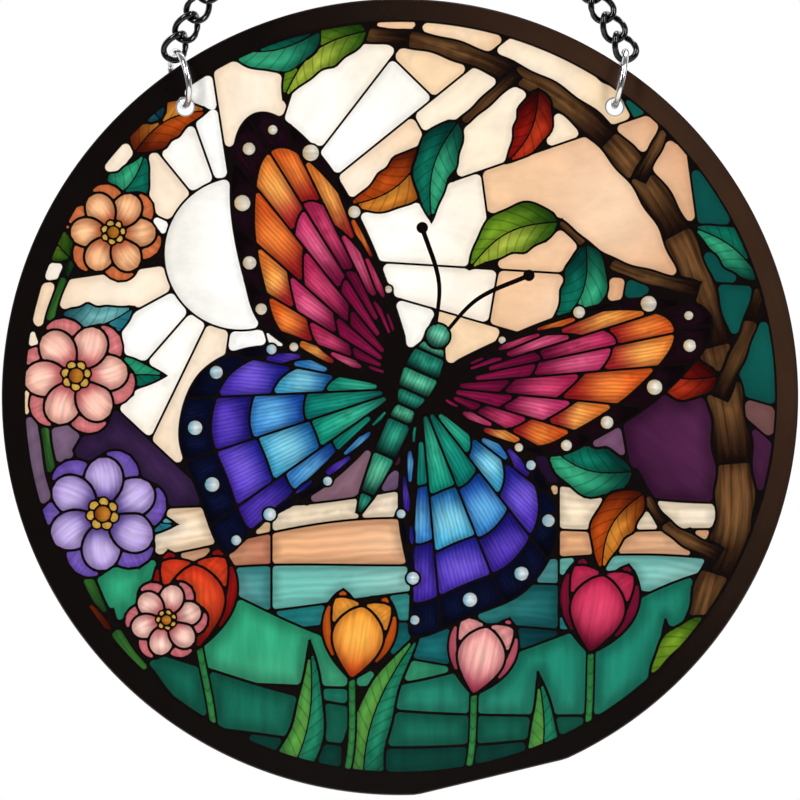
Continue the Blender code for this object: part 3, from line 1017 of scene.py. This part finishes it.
# Studio. White behind the piece and dim before it, dark where the flat sheet would mirror it into the
# camera; two tall soft lamps in front, one above, and a small pale floor well below the hanging piece. What
# the camera sees past the piece is a white backdrop on every side.
world = bpy.data.worlds.new("studio")
bpy.context.scene.world = world
world.use_nodes = True
tree = world.node_tree
tree.nodes.clear()
way = add(tree, "ShaderNodeSeparateXYZ", {0: add(tree, "ShaderNodeTexCoord").outputs["Generated"]})
# How strong the light is by how far its way points back: -1 is straight ahead of the piece, 1 straight behind
ahead = between(tree, way.outputs[1], -0.98, -0.75, 0.02, 0.20, "SMOOTHSTEP")
behind = between(tree, way.outputs[1], 0.0, 0.6, 0.0, 1.05, "SMOOTHSTEP")
flagged = between(tree, way.outputs[1], 0.9, 0.98, 0.0, -1.15, "SMOOTHSTEP")
level = reckon(tree, "ADD", reckon(tree, "ADD", ahead, behind), flagged)
light = add(tree, "ShaderNodeBackground", {"Color": rgba("#ffffff"), "Strength": level})
backdrop = add(tree, "ShaderNodeBackground", {"Color": rgba("#ffffff"), "Strength": 1.0})
seen = add(tree, "ShaderNodeLightPath").outputs["Is Camera Ray"]
either = add(tree, "ShaderNodeMixShader", {0: seen, 1: light.outputs[0], 2: backdrop.outputs[0]})
add(tree, "ShaderNodeOutputWorld", {"Surface": either.outputs[0]})


def softbox(name, place, width, height, watts):
    lamp = bpy.data.lights.new(name, "AREA")
    lamp.shape, lamp.size, lamp.size_y, lamp.energy = "RECTANGLE", width, height, watts
    thing = bpy.data.objects.new(name, lamp)
    thing.location = place
    thing.rotation_euler = (SHEET_CENTRE - Vector(place)).to_track_quat("-Z", "Y").to_euler()
    bpy.context.scene.collection.objects.link(thing)


softbox("key", (-0.6, -0.7, 0.35), width=0.14, height=0.8, watts=9.7)
softbox("fill", (0.65, -0.7, 0.3), width=0.14, height=0.8, watts=8.3)
softbox("top", (0.1, 0.3, 0.6), width=0.4, height=0.4, watts=4.0)

FLOOR_DROP = 0.045
FLOOR_RADIUS = 0.26
floor_mesh = bpy.data.meshes.new("floor")
shape = bmesh.new()
bmesh.ops.create_circle(shape, cap_ends=True, segments=96, radius=FLOOR_RADIUS)
shape.to_mesh(floor_mesh)
shape.free()
floor = bpy.data.objects.new("floor", floor_mesh)
floor.location = (0, 0, low.z - FLOOR_DROP)
bpy.context.scene.collection.objects.link(floor)
matt, tree = new_material("pale floor")
paper = add(tree, "ShaderNodeBsdfPrincipled", {"Base Color": rgba("#e9e7e3"), "Roughness": 0.7})
add(tree, "ShaderNodeOutputMaterial", {"Surface": paper.outputs[0]})
floor_mesh.materials.append(matt)


# Camera. Level and square to the sheet, through a long lens: the picture is 150.8 mm wide at the sheet, and
# the sheet's centre lies 3 pixels of 800 above the picture's.
CAMERA_DISTANCE = 1.4
PICTURE_WIDTH, PICTURE_PIXELS = 0.1508, 800
SHEET_RISE = 3 / PICTURE_PIXELS * PICTURE_WIDTH
SENSOR_WIDTH = 36
camera = bpy.data.objects.new("camera", bpy.data.cameras.new("camera"))
camera.data.sensor_width = SENSOR_WIDTH
camera.data.lens = SENSOR_WIDTH * CAMERA_DISTANCE / PICTURE_WIDTH
camera.location = SHEET_CENTRE + Vector((0, -CAMERA_DISTANCE, -SHEET_RISE))
camera.rotation_euler = (math.pi / 2, 0, 0)
bpy.context.scene.collection.objects.link(camera)
bpy.context.scene.camera = camera
bpy.context.scene.view_settings.view_transform = "Standard"

bpy.context.view_layer.update()
